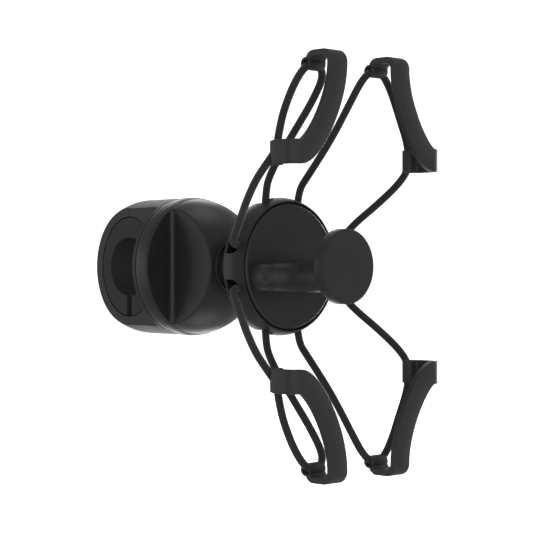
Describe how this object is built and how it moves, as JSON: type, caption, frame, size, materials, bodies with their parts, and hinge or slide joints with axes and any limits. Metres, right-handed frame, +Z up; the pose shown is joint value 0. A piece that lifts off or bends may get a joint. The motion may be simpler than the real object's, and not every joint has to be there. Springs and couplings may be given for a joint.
{
  "type": "phone handlebar mount",
  "caption": "Handlebar phone mount: split bar clamp with a rubber insert, winged lock knob over a ball joint, and a round head whose elastic corner straps hold a phone.",
  "frame": {"origin": "centre of the handlebar bore", "axes": "+X along the handlebar, to the right for a rider facing the phone; +Z up along the phone; the phone is in front, towards -Y"},
  "size_m": [0.0808, 0.1457, 0.156],
  "materials": {
    "soft_touch": "matte soft-touch black plastic",
    "knob_plastic": "matte moulded black plastic, fine grain",
    "head_plastic": "matte moulded black plastic, fine grain",
    "plate_plastic": "matte moulded black plastic",
    "seat_plastic": "smooth black acetal",
    "stud_plastic": "smooth black glass-filled nylon",
    "clamp_rubber": "matte black rubber",
    "pad_rubber": "matte black rubber",
    "silicone": "matte dark grey-black silicone",
    "elastic_cord": "black braided elastic cord",
    "steel": "zinc-plated steel",
    "black_steel": "black oxide steel"
  },
  "bodies": {
    "clamp": {"clamp_body": "soft_touch", "bar_insert": "clamp_rubber", "jaw_nuts": "steel", "seat_spring": "steel"},
    "jaw": {"clamp_jaw": "soft_touch"},
    "upper_screw": {"jaw_screw_upper": "black_steel"},
    "lower_screw": {"jaw_screw_lower": "black_steel"},
    "knob": {"lock_knob": "knob_plastic", "front_ball_seat": "seat_plastic"},
    "ball_cup": {"rear_ball_seat": "seat_plastic"},
    "stud": {"ball_stud": "stud_plastic", "stud_washer": "steel", "stud_screw": "steel"},
    "head": {"rear_cover": "head_plastic", "cover_screws": "black_steel", "head_ring": "head_plastic", "cord_anchor": "head_plastic", "cord_crimps": "steel", "front_plate": "plate_plastic", "support_bridge": "plate_plastic", "bridge_screws": "steel", "rest_pad": "pad_rubber", "elastic_upper_left": "elastic_cord", "elastic_upper_right": "elastic_cord", "elastic_lower_left": "elastic_cord", "elastic_lower_right": "elastic_cord", "strap_upper_left": "silicone", "strap_upper_right": "silicone", "strap_lower_left": "silicone", "strap_lower_right": "silicone"}
  },
  "joints": [
    {"name": "jaw_slide", "type": "slide", "parent": "clamp", "child": "jaw", "axis": [0, 1, 0], "range_m": [0, 0.006]},
    {"name": "upper_screw_turn", "type": "hinge", "parent": "jaw", "child": "upper_screw", "pos_m": [0, 0.005, 0.0239], "axis": [0, 1, 0], "continuous": true},
    {"name": "lower_screw_turn", "type": "hinge", "parent": "jaw", "child": "lower_screw", "pos_m": [0, 0.005, -0.0239], "axis": [0, 1, 0], "continuous": true},
    {"name": "knob_turn", "type": "hinge", "parent": "clamp", "child": "knob", "pos_m": [0, -0.0188, 0], "axis": [0, -1, 0], "range_deg": [0, 540]},
    {"name": "ball_swivel", "type": "hinge", "parent": "clamp", "child": "ball_cup", "pos_m": [0, -0.0385, 0], "axis": [0, -1, 0], "continuous": true},
    {"name": "ball_tilt", "type": "hinge", "parent": "ball_cup", "child": "stud", "pos_m": [0, -0.0385, 0], "axis": [1, 0, 0], "range_deg": [-12, 12]},
    {"name": "head_turn", "type": "hinge", "parent": "stud", "child": "head", "pos_m": [0, -0.069, 0], "axis": [0, -1, 0], "continuous": true}
  ]
}
